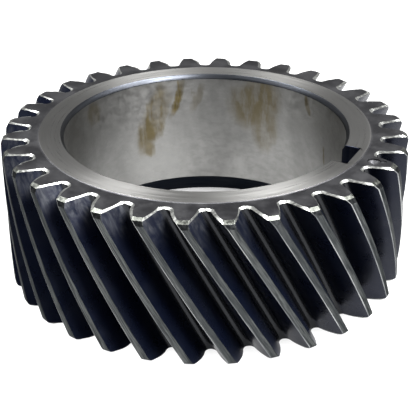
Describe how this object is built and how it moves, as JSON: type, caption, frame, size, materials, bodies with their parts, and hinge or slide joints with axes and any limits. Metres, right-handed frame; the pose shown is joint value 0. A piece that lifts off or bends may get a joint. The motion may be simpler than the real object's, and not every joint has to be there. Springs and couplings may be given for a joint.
{
  "type": "helical gear",
  "caption": "Left-hand helical ring gear in dark heat-treated steel, with ground tooth-edge bevels, bright turned hub faces and a large keyed bore.",
  "frame": {"origin": "on the bore axis, in the plane of the lower hub face that the gear rests on", "axes": "+Z along the bore axis towards the upper hub face; +X towards the middle of the keyway"},
  "size_m": [0.1554, 0.1554, 0.057],
  "materials": {
    "gear_steel": "dark heat-treated satin on the teeth and rim faces, bright ground bevels, turned hub faces and honed bore"
  },
  "bodies": {
    "root": {"helical_gear": "gear_steel"}
  },
  "joints": []
}
